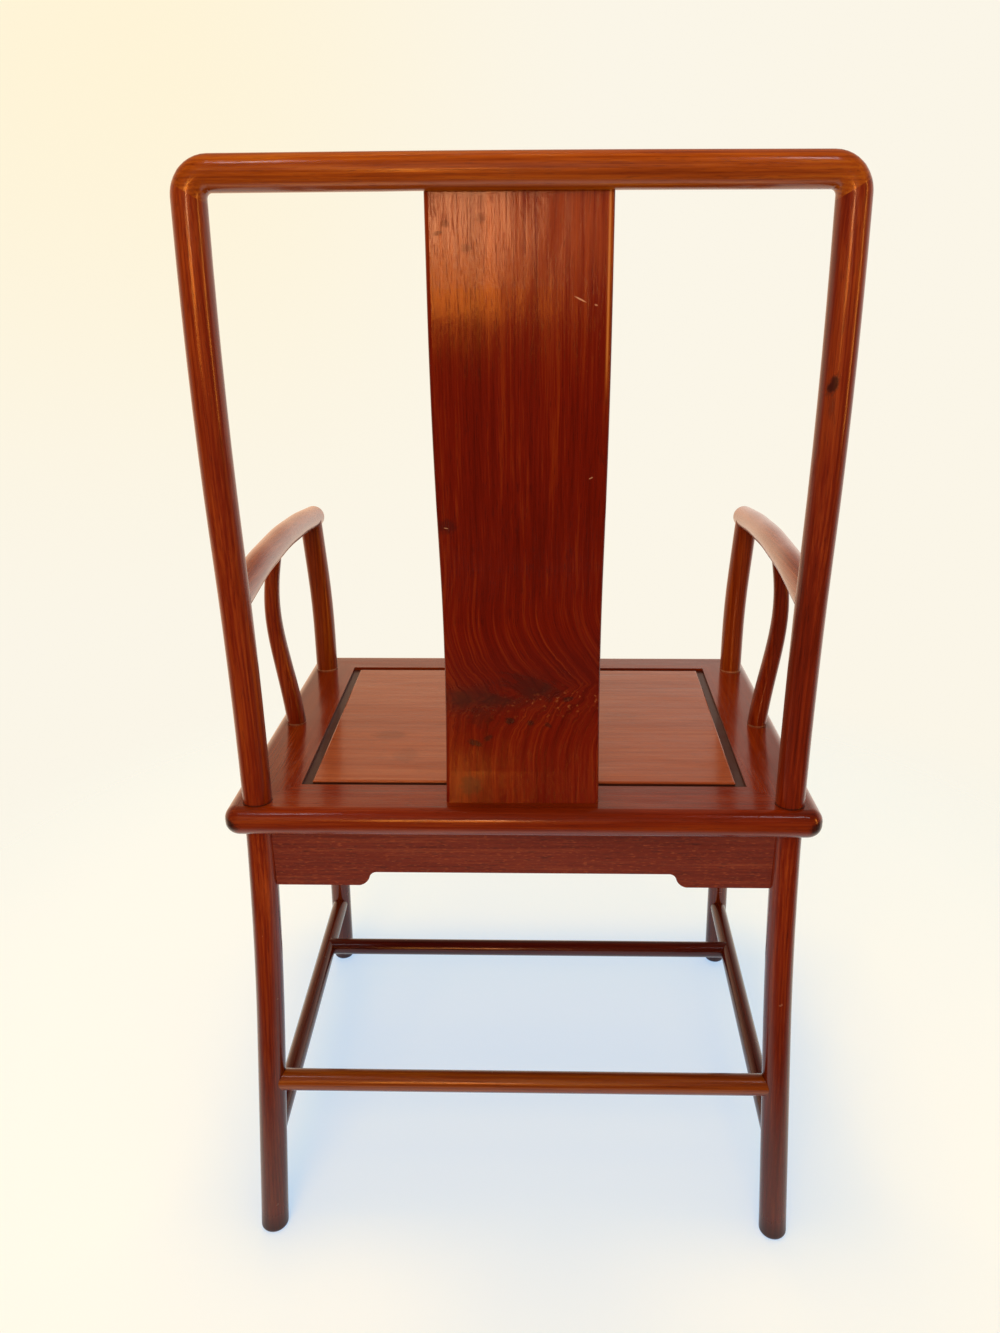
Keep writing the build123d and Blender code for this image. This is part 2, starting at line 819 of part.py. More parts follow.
with BuildPart() as stretcher_cross:
    add(round_bar(*cross_ends, cross_stretcher_radius))
    for side in (1, -1):
        add(
            round_bar(*side_stretcher_ends(side), side_stretcher_radius + round_fit),
            mode=Mode.SUBTRACT,
        )
    add(round_bar(*cross_ends, cross_tenon_radius))
stretcher_cross.part.label = "stretcher_cross"
export_step(stretcher_cross.part, "parts/stretcher_cross.step")
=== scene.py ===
import math

import bpy
from mathutils import Matrix, Vector

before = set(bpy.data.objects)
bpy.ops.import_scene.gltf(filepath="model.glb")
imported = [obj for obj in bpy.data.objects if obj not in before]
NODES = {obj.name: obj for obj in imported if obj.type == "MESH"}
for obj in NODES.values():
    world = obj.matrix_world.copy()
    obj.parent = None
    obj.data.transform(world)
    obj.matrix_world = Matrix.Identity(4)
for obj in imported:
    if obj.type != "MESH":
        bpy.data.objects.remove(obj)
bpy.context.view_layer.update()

# ---------------------------------------------------------------- shader maths


class Value:
    """A number, colour or shader that varies over a surface. Sums on it add Math nodes."""

    def __init__(self, finish, socket):
        self.finish = finish
        self.socket = socket

    def math(self, operation, *others, clamped=False):
        settings = {"operation": operation, "use_clamp": clamped}
        return self.finish.node("ShaderNodeMath", settings, self, *others)["Value"]

    def __add__(self, other):
        return self.math("ADD", other)

    def __sub__(self, other):
        return self.math("SUBTRACT", other)

    def __mul__(self, other):
        return self.math("MULTIPLY", other)

    def __truediv__(self, other):
        return self.math("DIVIDE", other)

    def __pow__(self, other):
        return self.math("POWER", other)

    def __rsub__(self, other):
        settings = {"operation": "SUBTRACT"}
        return self.finish.node("ShaderNodeMath", settings, other, self)["Value"]

    __radd__ = __add__
    __rmul__ = __mul__

    def clamp(self):
        return self.math("ADD", 0.0, clamped=True)

    def sine(self):
        return self.math("SINE")

    def distance(self):
        return self.math("ABSOLUTE")

    def root(self):
        return self.math("SQRT")

    def most(self, other):
        return self.math("MAXIMUM", other)

    def band(self, low, high):
        """0 below low, 1 above high, and a smooth rise between them."""
        return self.finish.node(
            "ShaderNodeMapRange",
            {"interpolation_type": "SMOOTHSTEP"},
            **{"Value": self, "From Min": low, "From Max": high},
        )["Result"]

    def around(self, centre, reach):
        """1 at centre, falling smoothly to 0 at reach on either side."""
        return 1.0 - (self - centre).distance().band(0.0, reach)


class Finish:
    """A node tree with one shader, and the nodes that vary it."""

    def __init__(self, name, owner=None):
        self.owner = owner or bpy.data.materials.new(name)
        self.owner.use_nodes = True
        self.tree = self.owner.node_tree
        self.tree.nodes.clear()
        kind = "ShaderNodeOutputMaterial" if owner is None else "ShaderNodeOutputWorld"
        self.output = self.tree.nodes.new(kind)

    def node(self, kind, settings=None, *values, **inputs):
        """Adds a node; its settings are set first, then its sockets by place or name."""
        made = self.tree.nodes.new(kind)
        for name, value in (settings or {}).items():
            if name == "stops":
                self.set_stops(made.color_ramp, value)
            else:
                setattr(made, name, value)
        open_inputs = [s for s in made.inputs if s.enabled]
        for socket, value in zip(open_inputs, values):
            self.feed(socket, value)
        for name, value in inputs.items():
            socket = next(s for s in open_inputs if s.name == name)
            self.feed(socket, value)
        return {s.name: Value(self, s) for s in made.outputs if s.enabled}

    def feed(self, socket, value):
        if isinstance(value, Value):
            self.tree.links.new(value.socket, socket)
        elif socket.type == "RGBA" and len(value) == 3:
            socket.default_value = (*value, 1.0)
        else:
            socket.default_value = value

    def set_stops(self, ramp, stops):
        while len(ramp.elements) < len(stops):
            ramp.elements.new(0.5)
        for element, (place, colour) in zip(ramp.elements, stops):
            element.position = place
            element.color = (*colour, 1.0)

    def place(self, centre=(0, 0, 0), turn=(0, 0, 0), scale=(1, 1, 1)):
        """Object coordinates, moved so that centre is the origin, then turned and scaled."""
        where = self.node("ShaderNodeTexCoord")["Object"]
        moved = self.vector_math("SUBTRACT", where, centre)
        turned = self.node(
            "ShaderNodeVectorRotate",
            {"rotation_type": "EULER_XYZ"},
            **{"Vector": moved, "Rotation": turn},
        )["Vector"]
        return self.vector_math("MULTIPLY", turned, scale)

    def vector_math(self, operation, one, other):
        settings = {"operation": operation}
        return self.node("ShaderNodeVectorMath", settings, one, other)["Vector"]

    def axes(self, where):
        parts = self.node("ShaderNodeSeparateXYZ", None, where)
        return parts["X"], parts["Y"], parts["Z"]

    def vector(self, x, y, z):
        return self.node("ShaderNodeCombineXYZ", None, x, y, z)["Vector"]

    def noise(self, where, scale, detail=2.0, roughness=0.5, stretch=1.0):
        """Noise from 0 to 1, mostly near 0.5. A stretch below 1 draws it out along z."""
        if stretch != 1.0:
            where = self.vector_math("MULTIPLY", where, (1.0, 1.0, stretch))
        inputs = {"Vector": where, "Scale": scale, "Detail": detail, "Roughness": roughness}
        return self.node("ShaderNodeTexNoise", None, **inputs)["Fac"]

    def waver(self, where, **pattern):
        """The same noise, wavering about zero."""
        return self.noise(where, **pattern) - 0.5

    def ramp(self, factor, *stops):
        return self.node("ShaderNodeValToRGB", {"stops": stops}, factor)["Color"]

    def mix(self, factor, one, other):
        """The colour one where factor is 0 and the colour other where it is 1."""
        settings = {"data_type": "RGBA"}
        return self.node("ShaderNodeMix", settings, factor, one, other)["Result"]

    def spot(self, centre, sizes, turn=0.0, ragged=0.5):
        """1 inside an egg-shaped spot on the board, 0 outside it, with a ragged edge."""
        scale = tuple(1.0 / size for size in sizes)
        near = self.place(centre=centre, turn=(0.0, turn, 0.0), scale=scale)
        x, y, z = self.axes(near)
        far = (x**2.0 + y**2.0 + z**2.0).root() + self.waver(near, scale=2.2) * ragged * 2.0
        return 1.0 - far.band(0.55, 1.25)

    def shade(self, shader):
        self.tree.links.new(shader.socket, self.output.inputs["Surface"])
        return self.owner


# ---------------------------------------------------------------- wood

SEAT_HEIGHT = 0.470
BACK_HEIGHT = 0.555

# how far the rear feet stand back, the back leans back and the front feet stand forward
REAR_RAKE = 0.064
BACK_LEAN = 0.030
FRONT_RAKE = 0.021

# the turn that brings the board's length to z, where the grain runs
GRAIN_UP = (0.0, 0.0, 0.0)
GRAIN_ACROSS = (0.0, math.radians(90.0), 0.0)
GRAIN_DEEP = (math.radians(90.0), 0.0, 0.0)

# patterns in the wood, from the finest to the coarsest
PORES = {"scale": 1500.0, "detail": 1.0, "roughness": 0.4, "stretch": 0.045}
FLECKS = {"scale": 950.0, "stretch": 0.16}
FIBRES = {"scale": 820.0, "roughness": 0.6, "stretch": 0.018}
THREADS = {"scale": 360.0, "stretch": 0.022}
STREAKS = {"scale": 130.0, "stretch": 0.030}
PLANKS = {"scale": 36.0, "stretch": 0.035}
PATCHES = {"scale": 8.0, "stretch": 0.45}

# patterns in the fork and at the joints
SPECKS = {"scale": 230.0}
CRUMBS = {"scale": 110.0}
GAPS = {"scale": 38.0}
KINKS = {"scale": 34.0, "detail": 3.0, "roughness": 0.6}

# patterns of wear and of the scraped and lacquered face
PEEL = {"scale": 230.0}
SCUFFS = {"scale": 75.0, "roughness": 0.6}
WAVES = {"scale": 26.0, "stretch": 0.3}

# how high or deep the relief is, in metres
FIBRE_RELIEF = 0.00004
PORE_DEPTH = 0.00004
WAVE_RELIEF = 0.0010
PEEL_RELIEF = 0.00005

# how much each pattern lightens and darkens a board
FIBRE_TONE = 0.62
STREAK_TONE = 0.55
PLANK_TONE = 0.60
PATCH_TONE = 0.55

# how far the growth lines slant across a board, and how unevenly they are spaced
RING_SLANT = 0.35
RING_DRIFT = 5.0

# how much roughness each adds to the polish
LAYER_DULLNESS = 0.30
MARK_DULLNESS = 0.15
SCUFF_DULLNESS = 0.15
FOOT_DULLNESS = 0.25

# dark, middle and light colour of each kind of board
POST_TONES = ((0.060, 0.0030, 0.0004), (0.152, 0.0110, 0.0008), (0.290, 0.0420, 0.0028))
# painted highlight: lighter colours than the posts, for the front posts and the arms
PAINTED_GLOW_TONES = ((0.080, 0.0045, 0.0005), (0.205, 0.0230, 0.0010), (0.360, 0.0720, 0.0040))
RAIL_TONES = ((0.072, 0.0045, 0.0005), (0.145, 0.0120, 0.0009), (0.240, 0.0340, 0.0022))
# painted reflection: lighter, more orange colours than the posts, for the crest rail and the rear
# stretcher
PAINTED_SHEEN_TONES = ((0.112, 0.0100, 0.0004), (0.270, 0.0450, 0.0008), (0.430, 0.1080, 0.0030))
# painted shade: darker colours than the posts, for the cross stretcher
PAINTED_SHADE_TONES = ((0.034, 0.0012, 0.0002), (0.092, 0.0035, 0.0003), (0.190, 0.0190, 0.0010))
SPLAT_TONES = ((0.042, 0.0012, 0.0002), (0.126, 0.0050, 0.0003), (0.280, 0.0350, 0.0010))
PANEL_TONES = ((0.165, 0.0260, 0.0060), (0.255, 0.0500, 0.0120), (0.335, 0.0860, 0.0240))
APRON_TONES = ((0.090, 0.0080, 0.0022), (0.144, 0.0150, 0.0036), (0.255, 0.0500, 0.0110))

# colours that lie over the board's own
# painted shade for the sunk margin of the seat panel
GROOVE_SHADE = (0.018, 0.0040, 0.0022)
BURNT = (0.016, 0.0016, 0.0005)
BARE_WOOD = (0.560, 0.2600, 0.1100)
TORN_GRAIN = (0.420, 0.1100, 0.0130)
# painted highlight on a rounded edge
EDGE_GLINT = (0.620, 0.1900, 0.0120)

LACQUER_IOR = 1.42
COAT_IOR = 1.45
COAT_ROUGHNESS = 0.10


def straight_grain(finish, board):
    """The board as it is, with nothing laid over it."""
    return board, ()


def post_grain(finish, board):
    """Grain that follows the rake of the legs and the lean of the back."""
    x, y, z = finish.axes(board)
    leg = (1.0 - z / SEAT_HEIGHT).clamp()
    back = ((z - SEAT_HEIGHT) / BACK_HEIGHT).clamp()
    rear = y.band(-0.05, 0.05)
    backward = (leg * REAR_RAKE + back * BACK_LEAN) * rear
    forward = leg * FRONT_RAKE * (1.0 - rear)
    lay = finish.vector(x, y - backward + forward, z)
    # where a post stands on the seat: old glue round the front ones, a dark joint at the rear
    joint = z.around(SEAT_HEIGHT + 0.0007, 0.0017)
    glue = joint * (1.0 - rear) * finish.noise(board, **CRUMBS).band(0.25, 0.55)
    return lay, ((joint * rear * 0.8, BURNT), (glue * 0.42, BARE_WOOD))


def sunk_margin(finish, board):
    """Painted shade in the sunk margin round the raised field of the seat panel."""
    _, _, height = finish.axes(finish.place())
    # the margin lies 3.5 mm below the field; the painted shade stops on the step between them
    sunk = 1.0 - height.band(SEAT_HEIGHT - 0.0028, SEAT_HEIGHT - 0.0014)
    return board, ((sunk * 0.92, GROOVE_SHADE),)


# the fork's height and its climb per metre across the board
FORK_HEIGHT = 0.577
FORK_CLIMB = 0.13

# how far the grain sweeps aside at the fork, and how far above and below it that begins
FORK_SWEEP = 0.044
SWEEP_ABOVE = 0.088
SWEEP_BELOW = 0.070

# the line down each edge of the splat where its face starts to round over
EDGE_LINE = 0.0707


def crotch_figure(finish, board):
    """Straight grain that sweeps aside into a fork near the bottom of the splat."""
    x, y, z = finish.axes(board)
    rough = finish.waver(board, **KINKS)
    # height above the fork, whose line climbs towards the sitter's right
    above = z - FORK_HEIGHT + x * FORK_CLIMB + rough * 0.010
    sweep_above = (1.0 - above / SWEEP_ABOVE).clamp() ** 2.0
    sweep_below = (1.0 + above / SWEEP_BELOW).clamp() ** 2.0
    # on the sitter's left the grain sweeps less
    sweep_above = sweep_above * (1.0 - x.band(-0.040, 0.060) * 0.45)
    sweep_below = sweep_below * (1.0 - x.band(-0.030, 0.050) * 0.65)
    over = above.band(-0.0030, 0.0030)
    sweep = sweep_above * over + sweep_below * (1.0 - over)
    bulge = z.around(0.640, 0.070) * x.band(-0.050, 0.040)
    near_fork = above.around(0.0, 0.055)
    aside = sweep * FORK_SWEEP - bulge * 0.004 + rough * (near_fork * 0.030 + 0.0015)
    lay = finish.vector(x + aside, y * 0.12, z)
    # the dark seam along the fork, broken up, fading out near the sitter's right edge
    seam = (above - 0.001).around(0.0, 0.024) * x.band(-0.054, -0.032)
    seam = seam * finish.noise(board, **GAPS).band(0.30, 0.58)
    smoke = above.around(0.012, 0.060) * 0.20
    # bright specks of torn grain below the fork
    torn = finish.noise(board, **SPECKS).band(0.60, 0.72)
    torn = torn * above.around(-0.016, 0.024) * (1.0 - x.band(-0.015, 0.030) * 0.7)
    # painted highlight: a light line down the rounded edge on the sitter's right near the top,
    # standing for a glint
    painted_edge_glint = x.around(-EDGE_LINE, 0.0018) * z.band(0.845, 0.900)
    return lay, (
        ((seam * 0.40 + smoke).clamp(), BURNT),
        (torn * 0.30, TORN_GRAIN),
        (painted_edge_glint * 0.60, EDGE_GLINT),
    )


def board_tone(finish, lay, fibre, patch, lines, line_gap, threads, contrast):
    """How light the wood is, around 0.5: fibres, streaks and uneven growth lines."""
    x, y, _ = finish.axes(lay)
    thread = finish.waver(lay, **THREADS)
    streak = finish.waver(lay, **STREAKS)
    plank = finish.waver(lay, **PLANKS)
    tone = fibre * FIBRE_TONE + thread * threads + streak * STREAK_TONE
    tone = tone + plank * PLANK_TONE + patch * PATCH_TONE
    years = (x + y * RING_SLANT) / line_gap + plank * RING_DRIFT
    late_wood = (years * math.tau).sine() * 0.5 + 0.5
    return (tone - (late_wood**1.6 - 0.35) * lines) * contrast + 0.5


def with_painted_light(tone, side, height, painted_top_light, painted_side_light):
    """The tone with painted light: a painted highlight towards the top, and painted light and shade
    on the two sides.
    """
    # painted highlight: the tone grows lighter towards the top, standing for lamplight on it
    if painted_top_light:
        low, high, strength = painted_top_light
        tone = tone + height.band(low, high) * strength
    if painted_side_light:
        # painted light and shade: above the seat, lighter on the sitter's left and darker on the
        # right
        tone = tone + (side.band(-0.25, 0.25) - 0.5) * height.band(0.40, 0.60) * painted_side_light
    return tone


def worn_legs(finish, where, height, colour, roughness):
    """Scuffed legs that darken downwards, and dull dirty feet."""
    scuff = finish.noise(where, **SCUFFS).band(0.71, 0.74) * (1.0 - height.band(0.30, 0.46))
    colour = finish.mix(scuff * 0.20, colour, BARE_WOOD)
    foot = 1.0 - height.band(0.002, 0.030)
    # the legs grow darker towards the bottom, and the feet darker still with dirt
    feet_dirt_and_low_darkening = foot * 0.30 + (1.0 - height.band(0.02, 0.38)) * 0.62
    colour = finish.mix(feet_dirt_and_low_darkening, colour, BURNT)
    return colour, roughness + scuff * SCUFF_DULLNESS + foot * FOOT_DULLNESS


def relief(finish, board, where, fibre, pore):
    """Height in metres: fibres, pores, and the slow waves of a hand-scraped face."""
    grain = fibre * FIBRE_RELIEF - pore * PORE_DEPTH
    wave = finish.waver(board, **WAVES) * WAVE_RELIEF
    return grain + wave + finish.waver(where, **PEEL) * PEEL_RELIEF


def lacquered(finish, colour, roughness, height, coat):
    """The finished surface: polished wood, and clear lacquer over it in the strength coat."""
    bump = {"Strength": 1.0, "Distance": 1.0, "Height": height}
    inputs = {
        "Base Color": colour,
        "Roughness": roughness.clamp(),
        "IOR": LACQUER_IOR,
        "Normal": finish.node("ShaderNodeBump", None, **bump)["Normal"],
        "Coat Weight": coat,
        "Coat Roughness": COAT_ROUGHNESS,
        "Coat IOR": COAT_IOR,
    }
    return finish.shade(finish.node("ShaderNodeBsdfPrincipled", None, **inputs)["BSDF"])


def wood(
    name,
    grain,
    tones,
    figure=straight_grain,
    marks=(),
    lines=0.16,
    line_gap=0.0042,
    threads=0.62,
    contrast=1.0,
    pores=0.5,
    flecks=0.0,
    painted_top_light=None,
    painted_side_light=0.0,
    gloss=0.20,
    coat=0.3,
):
    """Lacquered hardwood: its grain and figure, painted highlights and shade, then marks, wear and
    relief.
    """
    finish = Finish(name)
    board = finish.place(turn=grain)
    where = finish.place()
    side, _, height = finish.axes(where)
    lay, layers = figure(finish, board)
    dark, middle, light = tones
    fibre = finish.waver(lay, **FIBRES)
    patch = finish.waver(lay, **PATCHES)
    tone = board_tone(finish, lay, fibre, patch, lines, line_gap, threads, contrast)
    # painted highlight towards the top, and painted light and shade on the two sides
    tone = with_painted_light(tone, side, height, painted_top_light, painted_side_light)
    colour = finish.ramp(tone.clamp(), (0.0, dark), (0.5, middle), (1.0, light))
    # open pores: short dark dashes along the grain, filled with lacquer
    pore = finish.noise(lay, **PORES).band(0.60, 0.70) * pores
    colour = finish.mix(pore * 0.6, colour, tuple(c * 0.25 for c in dark))
    if flecks:
        fleck = finish.noise(lay, **FLECKS).band(0.57, 0.68) * flecks
        colour = finish.mix(fleck, colour, tuple(c * 1.35 for c in light))
    roughness = fibre * 0.10 + patch * 0.10 + pore * 0.08 + gloss
    for mask, paint in layers:
        colour = finish.mix(mask, colour, paint)
        roughness = roughness + mask * LAYER_DULLNESS
    for paint, strength, spot in marks:
        mask = finish.spot(**spot) * strength
        colour = finish.mix(mask, colour, paint)
        roughness = roughness + mask * MARK_DULLNESS
    colour, roughness = worn_legs(finish, where, height, colour, roughness)
    raised = relief(finish, board, where, fibre, pore)
    return lacquered(finish, colour, roughness, raised, coat)


def mark(paint, strength, centre, sizes, turn=0.0, ragged=0.5):
    """A spot of paint on a board, in the order that wood() takes it."""
    spot = {"centre": centre, "sizes": sizes, "turn": turn, "ragged": ragged}
    return paint, strength, spot


# ---------------------------------------------------------------- finishes

SPLAT_MARKS = (
    # small knots and burnt eyes in the fork, right through the board
    mark(BURNT, 0.70, (0.046, 0.170, 0.527), (0.0075, 0.05, 0.0032), 0.3),
    mark(BURNT, 0.60, (0.033, 0.170, 0.532), (0.0050, 0.05, 0.0026), -0.5),
    mark(BURNT, 0.75, (0.012, 0.170, 0.549), (0.0048, 0.05, 0.0036)),
    mark(BURNT, 0.60, (-0.008, 0.170, 0.547), (0.0036, 0.05, 0.0028)),
    mark(BURNT, 0.55, (-0.025, 0.170, 0.545), (0.0040, 0.05, 0.0022), 0.5),
    mark(BURNT, 0.60, (-0.044, 0.170, 0.571), (0.0060, 0.05, 0.0024), -0.3),
    mark(BURNT, 0.50, (0.050, 0.180, 0.486), (0.0110, 0.05, 0.0100)),
    # smoky patches along the fork
    mark(BURNT, 0.38, (-0.012, 0.170, 0.583), (0.0300, 0.05, 0.0105), 0.25, 1.1),
    mark(BURNT, 0.28, (0.026, 0.170, 0.570), (0.0160, 0.05, 0.0065), 0.1, 1.0),
    mark(BURNT, 0.32, (0.057, 0.170, 0.571), (0.0090, 0.05, 0.0085), 0.0, 1.0),
    mark(BURNT, 0.30, (0.040, 0.170, 0.553), (0.0120, 0.05, 0.0100), 0.0, 1.1),
    # pits in the head of the board, where a painted highlight lightens it
    mark(BURNT, 0.35, (0.058, 0.2215, 0.988), (0.0034, 0.010, 0.0030)),
    mark(BURNT, 0.45, (0.064, 0.2215, 0.981), (0.0040, 0.010, 0.0016), -0.3),
    mark(BURNT, 0.30, (0.042, 0.2215, 0.970), (0.0044, 0.010, 0.0036)),
    mark(BURNT, 0.25, (0.030, 0.2215, 0.992), (0.0040, 0.010, 0.0040)),
    # a knot at the edge on the sitter's left, halfway up
    mark(BURNT, 0.45, (0.066, 0.170, 0.744), (0.0100, 0.05, 0.0085)),
    # scratches in the lacquer of the back
    mark(BARE_WOOD, 0.80, (-0.0485, 0.2215, 0.9318), (0.0052, 0.003, 0.0006), 0.45, 0.2),
    mark(BARE_WOOD, 0.55, (-0.0610, 0.2215, 0.9275), (0.0014, 0.003, 0.0007), 0.3, 0.2),
    mark(BARE_WOOD, 0.60, (-0.0602, 0.2055, 0.7880), (0.0020, 0.003, 0.0006), -0.5, 0.2),
    mark(BARE_WOOD, 0.60, (0.0665, 0.1935, 0.7420), (0.0022, 0.003, 0.0005), 0.2, 0.2),
)
# a knot in the rear post on the sitter's right, with a smoky patch below it
POST_MARKS = (
    mark(BURNT, 0.85, (-0.2522, 0.232, 0.8655), (0.0045, 0.012, 0.0090), 0.3),
    mark(BURNT, 0.30, (-0.2530, 0.232, 0.8480), (0.0030, 0.012, 0.0100)),
)
# dark end grain at the rear corners of the seat frame
RAIL_MARKS = tuple(
    mark(BURNT, 0.92, (side * 0.287, 0.203, 0.4535), (0.014, 0.016, 0.0085)) for side in (-1, 1)
)
# faint stains on the seat panel
PANEL_MARKS = (
    mark(BURNT, 0.22, (0.154, 0.020, 0.470), (0.020, 0.012, 0.004)),
    mark(BURNT, 0.16, (0.128, 0.075, 0.470), (0.014, 0.018, 0.004)),
    mark(BURNT, 0.10, (-0.110, -0.040, 0.470), (0.030, 0.014, 0.004)),
)

post_wood = wood(
    "lacquered_post_wood",
    GRAIN_UP,
    POST_TONES,
    figure=post_grain,
    marks=POST_MARKS,
    # painted highlight on the upper posts
    painted_top_light=(0.70, 1.02, 0.16),
    # painted light on the sitter's left of the back, painted shade on the right
    painted_side_light=0.28,
)
# painted highlight: the front posts are lighter than the rear ones
front_post_wood = wood("lacquered_front_post_wood", GRAIN_UP, PAINTED_GLOW_TONES, figure=post_grain)
# painted reflection: lighter, more orange colours on the crest rail
crest_wood = wood("lacquered_crest_wood", GRAIN_ACROSS, PAINTED_SHEEN_TONES, coat=0.5)
# painted highlight: the arms share the front posts' lighter colours
arm_wood = wood("lacquered_arm_wood", GRAIN_DEEP, PAINTED_GLOW_TONES, gloss=0.26, coat=0.7)
RAIL_LOOK = {"tones": RAIL_TONES, "marks": RAIL_MARKS, "lines": 0.06, "gloss": 0.17, "coat": 0.4}
side_rail_wood = wood("lacquered_side_rail_wood", GRAIN_DEEP, **RAIL_LOOK)
cross_rail_wood = wood("lacquered_cross_rail_wood", GRAIN_ACROSS, **RAIL_LOOK)
# painted reflection: the rear stretcher shares the crest rail's lighter colours
rear_stretcher_wood = wood("lacquered_rear_stretcher_wood", GRAIN_ACROSS, PAINTED_SHEEN_TONES)
# painted shade: the cross stretcher is given darker colours
cross_stretcher_wood = wood("lacquered_cross_stretcher_wood", GRAIN_ACROSS, PAINTED_SHADE_TONES)
side_stretcher_wood = wood("lacquered_side_stretcher_wood", GRAIN_DEEP, POST_TONES)
splat_wood = wood(
    "figured_splat_wood",
    GRAIN_UP,
    SPLAT_TONES,
    figure=crotch_figure,
    marks=SPLAT_MARKS,
    lines=0.12,
    line_gap=0.0092,
    threads=0.40,
    contrast=0.78,
    # painted highlight near the head of the splat
    painted_top_light=(0.905, 0.995, 0.22),
    gloss=0.16,
    coat=0.0,
)
panel_wood = wood(
    "seat_panel_wood",
    GRAIN_ACROSS,
    PANEL_TONES,
    figure=sunk_margin,
    marks=PANEL_MARKS,
    lines=0.07,
    gloss=0.17,
)
APRON_LOOK = {"tones": APRON_TONES, "flecks": 0.45, "pores": 0.9, "gloss": 0.42, "coat": 0.15}
apron_wood = wood("apron_wood", GRAIN_ACROSS, **APRON_LOOK)
side_apron_wood = wood("side_apron_wood", GRAIN_DEEP, **APRON_LOOK)

PIECES_OF = (
    (crest_wood, "crest_rail"),
    (post_wood, "rear_post_left rear_post_right spindle_left spindle_right"),
    (front_post_wood, "front_post_left front_post_right"),
    (splat_wood, "back_splat"),
    (arm_wood, "arm_left arm_right"),
    (cross_rail_wood, "seat_rail_rear seat_rail_front"),
    (side_rail_wood, "seat_rail_left seat_rail_right"),
    (panel_wood, "seat_panel"),
    (apron_wood, "apron_rear apron_front"),
    (side_apron_wood, "apron_left apron_right seat_battens"),
    (rear_stretcher_wood, "stretcher_rear"),
    (cross_stretcher_wood, "stretcher_cross"),
    (side_stretcher_wood, "stretcher_left stretcher_right"),
)
for material, names in PIECES_OF:
    for name in names.split():
        slots = NODES[name].data.materials
        slots.clear()
        slots.append(material)


# ---------------------------------------------------------------- room, lamps and camera


def seen_rays(finish):
    """Two masks: rays straight from the camera, and rays from gloss or glass."""
    path = finish.node("ShaderNodeLightPath")
    return path["Is Camera Ray"], path["Is Glossy Ray"].most(path["Is Transmission Ray"])


def blend_shaders(finish, factor, one, other):
    """The shader one where factor is 0 and the shader other where it is 1."""
    return finish.node("ShaderNodeMixShader", None, factor, one, other)["Shader"]


def paper_finish():
    """Pale paper round the chair that fades out into the room; shadows on it are cool."""
    finish = Finish("pale_paper")
    x, y, _ = finish.axes(finish.place(centre=(0.0, -0.35, 0.0)))
    diffuse = "ShaderNodeBsdfDiffuse"
    sunlit = finish.node(diffuse, None, Color=(0.705, 0.460, 0.006))["BSDF"]
    glow = finish.node("ShaderNodeEmission", None, Color=(0.250, 0.492, 0.824))["Emission"]
    shown = finish.node("ShaderNodeAddShader", None, sunlit, glow)["Shader"]
    plain = finish.node(diffuse, None, Color=(0.80, 0.80, 0.80))["BSDF"]
    straight, mirrored = seen_rays(finish)
    paper = blend_shaders(finish, straight.most(mirrored), plain, shown)
    faded = (x**2.0 + y**2.0).root().band(0.70, 1.25)
    clear = finish.node("ShaderNodeBsdfTransparent")["BSDF"]
    return finish.shade(blend_shaders(finish, faded, paper, clear))


def floor():
    mesh = bpy.data.meshes.new("floor")
    reach = 2.0
    corners = [(-reach, -reach, 0), (reach, -reach, 0), (reach, reach, 0), (-reach, reach, 0)]
    mesh.from_pydata(corners, [], [(0, 1, 2, 3)])
    made = bpy.data.objects.new("floor", mesh)
    bpy.context.scene.collection.objects.link(made)
    made.data.materials.append(paper_finish())


def room():
    """A cream wall all round; gloss shows it bright behind the chair, dim elsewhere."""
    world = bpy.data.worlds.new("room")
    bpy.context.scene.world = world
    finish = Finish("room", world)
    x, y, z = finish.axes(finish.place())
    corner = z.band(-0.30, 0.24) * x.band(-0.10, 0.36)
    wall = finish.mix(corner, (0.965, 0.920, 0.805), (1.0, 0.905, 0.680))
    behind = (y * -1.0).band(-0.30, 0.60)
    low = 1.0 - z.band(0.05, 0.70) * 0.82
    wall_sheen = finish.mix(x.band(-0.30, 0.30), (1.05, 0.86, 0.74), (1.15, 0.76, 0.50))
    sheen = finish.mix((behind * low).clamp(), (0.050, 0.018, 0.004), wall_sheen)
    light = finish.node("ShaderNodeBackground", None, Color=(0.52, 0.54, 0.56))["Background"]
    seen = finish.node("ShaderNodeBackground", None, Color=wall)["Background"]
    gloss = finish.node("ShaderNodeBackground", None, Color=sheen)["Background"]
    straight, mirrored = seen_rays(finish)
    other = blend_shaders(finish, mirrored, light, gloss)
    finish.shade(blend_shaders(finish, straight, other, seen))


def lamp(name, place, aim, size, power, colour, in_gloss, in_diffuse):
    """A flat lamp turned towards aim; gloss and matt faces each see it or don't."""
    data = bpy.data.lights.new(name, "AREA")
    data.shape = "RECTANGLE"
    data.size, data.size_y = size
    data.energy = power
    data.color = colour
    made = bpy.data.objects.new(name, data)
    bpy.context.scene.collection.objects.link(made)
    made.location = place
    direction = Vector(aim) - Vector(place)
    made.rotation_euler = direction.to_track_quat("-Z", "Y").to_euler()
    made.visible_glossy = in_gloss
    made.visible_diffuse = in_diffuse


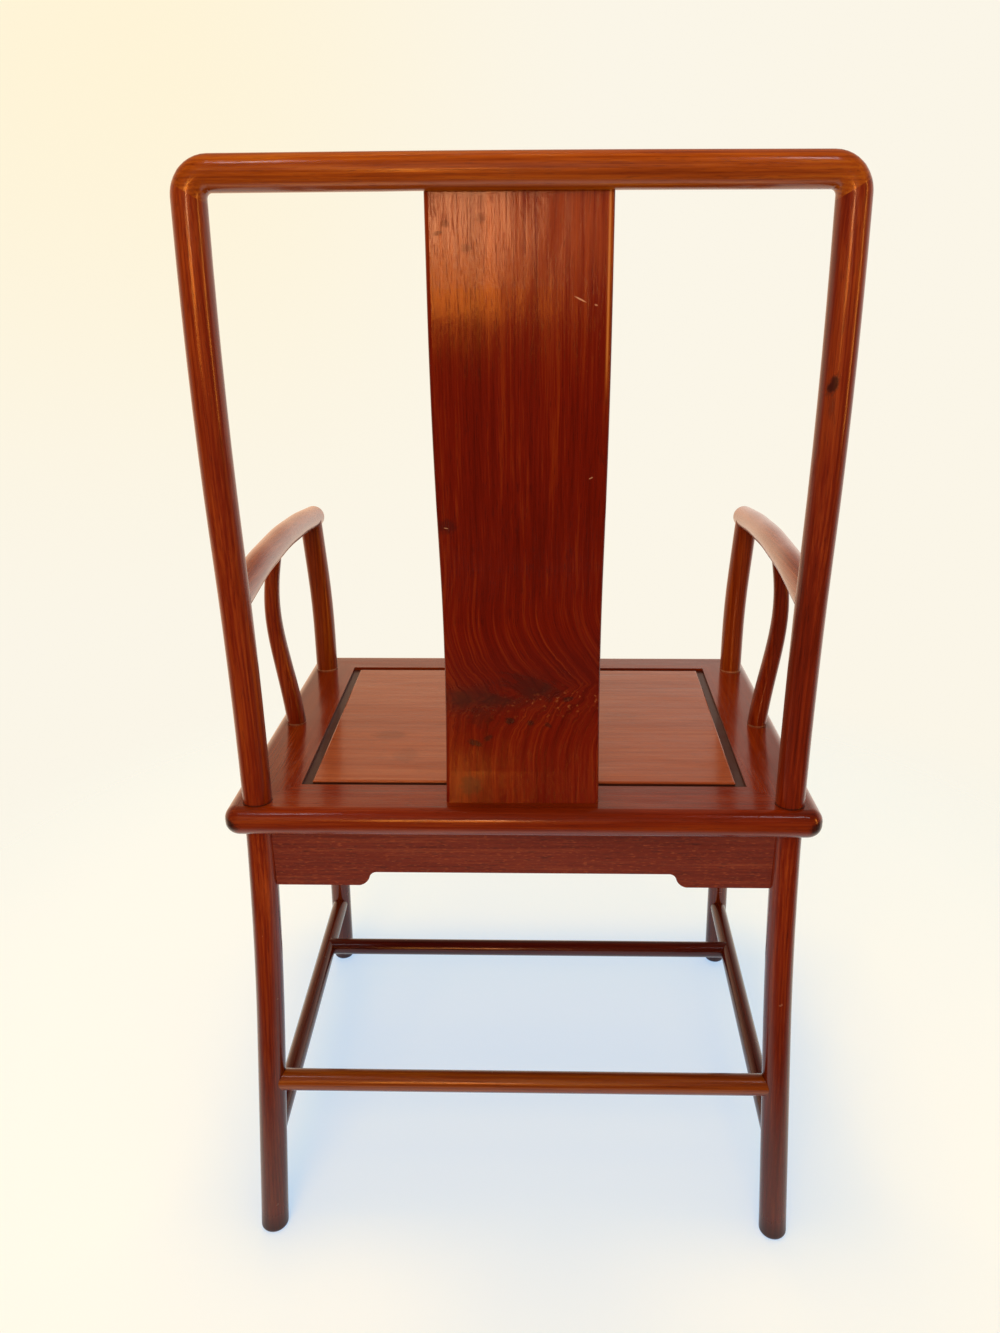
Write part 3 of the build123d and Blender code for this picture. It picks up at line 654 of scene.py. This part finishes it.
def camera():
    """Camera behind the chair, a little lower than its crest rail, aimed down at the seat."""
    data = bpy.data.cameras.new("camera")
    made = bpy.data.objects.new("camera", data)
    bpy.context.scene.collection.objects.link(made)
    bpy.context.scene.camera = made
    data.sensor_width = 36.0
    data.lens = 27.007
    data.shift_x = -0.0158
    data.shift_y = -0.0057
    place = Vector((-0.0184, 1.0664, 0.9164))
    yaw, pitch, roll = math.radians(1.24), math.radians(18.72), math.radians(-0.22)
    ahead = Vector(
        (math.sin(yaw) * math.cos(pitch), -math.cos(yaw) * math.cos(pitch), -math.sin(pitch))
    )
    level = Vector((ahead.y, -ahead.x, 0.0)).normalized()
    upright = level.cross(ahead)
    right = level * math.cos(roll) + upright * math.sin(roll)
    up = upright * math.cos(roll) - level * math.sin(roll)
    turn = Matrix((right, up, -ahead)).transposed().to_4x4()
    made.matrix_world = Matrix.Translation(place) @ turn
    data.clip_start, data.clip_end = 0.05, 60.0


WARM, COOL = (1.0, 0.90, 0.76), (0.80, 0.88, 1.0)
AMBER, GOLD, PEACH = (1.0, 0.26, 0.02), (1.0, 0.36, 0.05), (1.0, 0.46, 0.20)

# the panes of the window behind the camera all stand this far back
WINDOW_Y = 3.17

# name, place, aim, size, power, colour, seen in gloss, lights matt faces
LAMPS = (
    ("ceiling", (0.1, -0.10, 2.9), (0, 0, 0.4), (0.6, 0.6), 27.0, WARM, False, True),
    ("room_fill", (0.3, 3.0, 2.1), (0, 0, 0.6), (2.0, 2.0), 54.0, WARM, False, True),
    ("front_fill", (0.6, -3.0, 1.9), (0, 0, 0.6), (2.0, 2.0), 18.0, WARM, False, True),
    ("window_top", (0.24, WINDOW_Y, 1.37), (0.04, 0.22, 1.0), (0.28, 0.15), 4.7, PEACH, True, True),
    ("window_middle", (0.26, WINDOW_Y, 1.05), (0, 0.22, 0.97), (0.30, 0.34), 5.0, AMBER, True, True),
    ("window_side", (0.56, WINDOW_Y, 1.02), (0, 0.22, 0.97), (0.13, 0.60), 4.0, GOLD, True, True),
    ("window_foot", (0.53, WINDOW_Y, 0.60), (0, 0.22, 0.9), (0.34, 0.20), 1.6, AMBER, True, True),
    ("side_window", (-2.7, 1.3, 1.1), (0.2, 0.2, 0.8), (0.28, 1.7), 16.0, GOLD, True, False),
    ("skylight", (-0.91, 1.45, 2.97), (-0.2, 0.23, 1.03), (0.10, 0.42), 1.5, COOL, True, True),
    ("skylight", (0.91, 1.45, 2.97), (0.2, 0.23, 1.03), (0.10, 0.42), 1.5, COOL, True, True),
)

floor()
room()
for setting in LAMPS:
    lamp(*setting)
camera()

bpy.context.scene.view_settings.view_transform = "Standard"
